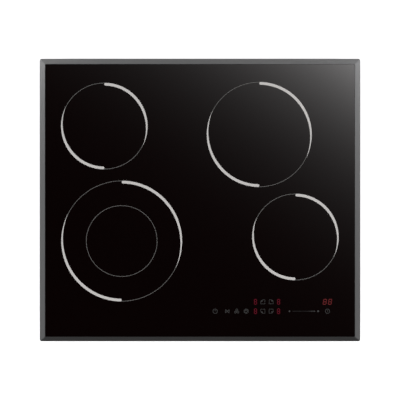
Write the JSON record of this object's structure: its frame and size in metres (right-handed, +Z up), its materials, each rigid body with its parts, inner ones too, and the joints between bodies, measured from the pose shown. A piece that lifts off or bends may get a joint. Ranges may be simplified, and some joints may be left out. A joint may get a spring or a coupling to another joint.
{
  "type": "induction cooktop",
  "caption": "Built-in induction hob: black glass-ceramic top with printed ring zones and touch keys in a mitred metal trim, over a shallow steel tray with coils, fans and clamps.",
  "frame": {"origin": "centre of the outline, on the ground plane under the tray's feet", "axes": "+Z up, +X to the user's right along the long side, +Y to the back edge"},
  "size_m": [0.59, 0.52, 0.0579],
  "materials": {
    "black_glass": "gloss",
    "trim_metal": "satin",
    "zone_print": "matt",
    "symbol_print": "matt",
    "tray_steel": "satin",
    "screw_steel": "satin",
    "spring_steel": "satin",
    "plate_aluminium": "satin",
    "copper": "satin",
    "ferrite": "matt",
    "mica": "matt",
    "sensor_ceramic": "matt",
    "carrier_plastic": "matt",
    "fan_plastic": "satin",
    "nylon": "satin",
    "circuit_board": "satin",
    "capacitor_yellow": "satin",
    "epoxy_black": "matt",
    "display_black": "matt",
    "terminal_plastic": "satin",
    "brass": "satin",
    "silicone": "matt",
    "seal_foam": "matt",
    "rubber": "matt",
    "wire_insulation": "satin"
  },
  "bodies": {
    "hob": {"base_tray": "tray_steel", "board_posts": "nylon", "cable_grommet": "rubber", "case_screws": "screw_steel", "clamp_nuts": "screw_steel", "coil_insulation_discs": "mica", "coil_plate": "plate_aluminium", "coil_springs": "spring_steel", "coil_temperature_sensors": "sensor_ceramic", "control_board": "circuit_board", "control_carrier": "carrier_plastic", "control_print": "symbol_print", "fan_motor_stators": "copper", "ferrite_bars": "ferrite", "film_capacitors": "capacitor_yellow", "filter_chokes": "copper", "front_left_coil_carrier": "carrier_plastic", "front_left_inner_winding": "copper", "front_left_outer_winding": "copper", "front_right_coil_carrier": "carrier_plastic", "front_right_winding": "copper", "glass_adhesive": "silicone", "glass_ceramic_panel": "black_glass", "led_displays": "display_black", "left_fan_housing": "fan_plastic", "left_heatsink": "plate_aluminium", "left_power_board": "circuit_board", "plate_posts": "screw_steel", "power_transistors": "epoxy_black", "rear_left_coil_carrier": "carrier_plastic", "rear_left_winding": "copper", "rear_right_coil_carrier": "carrier_plastic", "rear_right_winding": "copper", "right_fan_housing": "fan_plastic", "right_heatsink": "plate_aluminium", "right_power_board": "circuit_board", "side_brackets": "tray_steel", "terminal_bay": "carrier_plastic", "terminal_block": "terminal_plastic", "terminal_screws": "brass", "touch_pads": "rubber", "trim_corner_keys": "plate_aluminium", "trim_front": "trim_metal", "trim_left": "trim_metal", "trim_rear": "trim_metal", "trim_right": "trim_metal", "wiring_harness": "wire_insulation", "worktop_seal": "seal_foam", "zone_print": "zone_print"},
    "left_impeller": {"left_fan_impeller": "fan_plastic"},
    "right_impeller": {"right_fan_impeller": "fan_plastic"},
    "front_left_screw": {"front_left_clamp_screw": "screw_steel"},
    "front_left_arm": {"front_left_clamp": "tray_steel"},
    "front_right_screw": {"front_right_clamp_screw": "screw_steel"},
    "front_right_arm": {"front_right_clamp": "tray_steel"},
    "rear_left_screw": {"rear_left_clamp_screw": "screw_steel"},
    "rear_left_arm": {"rear_left_clamp": "tray_steel"},
    "rear_right_screw": {"rear_right_clamp_screw": "screw_steel"},
    "rear_right_arm": {"rear_right_clamp": "tray_steel"},
    "cover": {"terminal_cover": "carrier_plastic"}
  },
  "joints": [
    {"name": "left_fan_spin", "type": "hinge", "parent": "hob", "child": "left_impeller", "pos_m": [-0.124, 0.15, 0.018], "axis": [0, 0, 1], "continuous": true},
    {"name": "right_fan_spin", "type": "hinge", "parent": "hob", "child": "right_impeller", "pos_m": [0.116, 0.15, 0.018], "axis": [0, 0, 1], "continuous": true},
    {"name": "front_left_clamp_lift", "type": "slide", "parent": "hob", "child": "front_left_screw", "axis": [0, 0, 1], "range_m": [0, 0.009]},
    {"name": "front_left_clamp_swing", "type": "hinge", "parent": "front_left_screw", "child": "front_left_arm", "pos_m": [-0.2625, -0.174, 0.0095], "axis": [0, 0, 1], "range_deg": [0, 90]},
    {"name": "front_right_clamp_lift", "type": "slide", "parent": "hob", "child": "front_right_screw", "axis": [0, 0, 1], "range_m": [0, 0.009]},
    {"name": "front_right_clamp_swing", "type": "hinge", "parent": "front_right_screw", "child": "front_right_arm", "pos_m": [0.2625, -0.174, 0.0095], "axis": [0, 0, -1], "range_deg": [0, 90]},
    {"name": "rear_left_clamp_lift", "type": "slide", "parent": "hob", "child": "rear_left_screw", "axis": [0, 0, 1], "range_m": [0, 0.009]},
    {"name": "rear_left_clamp_swing", "type": "hinge", "parent": "rear_left_screw", "child": "rear_left_arm", "pos_m": [-0.2625, 0.174, 0.0095], "axis": [0, 0, -1], "range_deg": [0, 90]},
    {"name": "rear_right_clamp_lift", "type": "slide", "parent": "hob", "child": "rear_right_screw", "axis": [0, 0, 1], "range_m": [0, 0.009]},
    {"name": "rear_right_clamp_swing", "type": "hinge", "parent": "rear_right_screw", "child": "rear_right_arm", "pos_m": [0.2625, 0.174, 0.0095], "axis": [0, 0, 1], "range_deg": [0, 90]},
    {"name": "terminal_cover_hinge", "type": "hinge", "parent": "hob", "child": "cover", "pos_m": [0.217, 0.2376, 0.0088], "axis": [-1, 0, 0], "range_deg": [0, 90]}
  ]
}
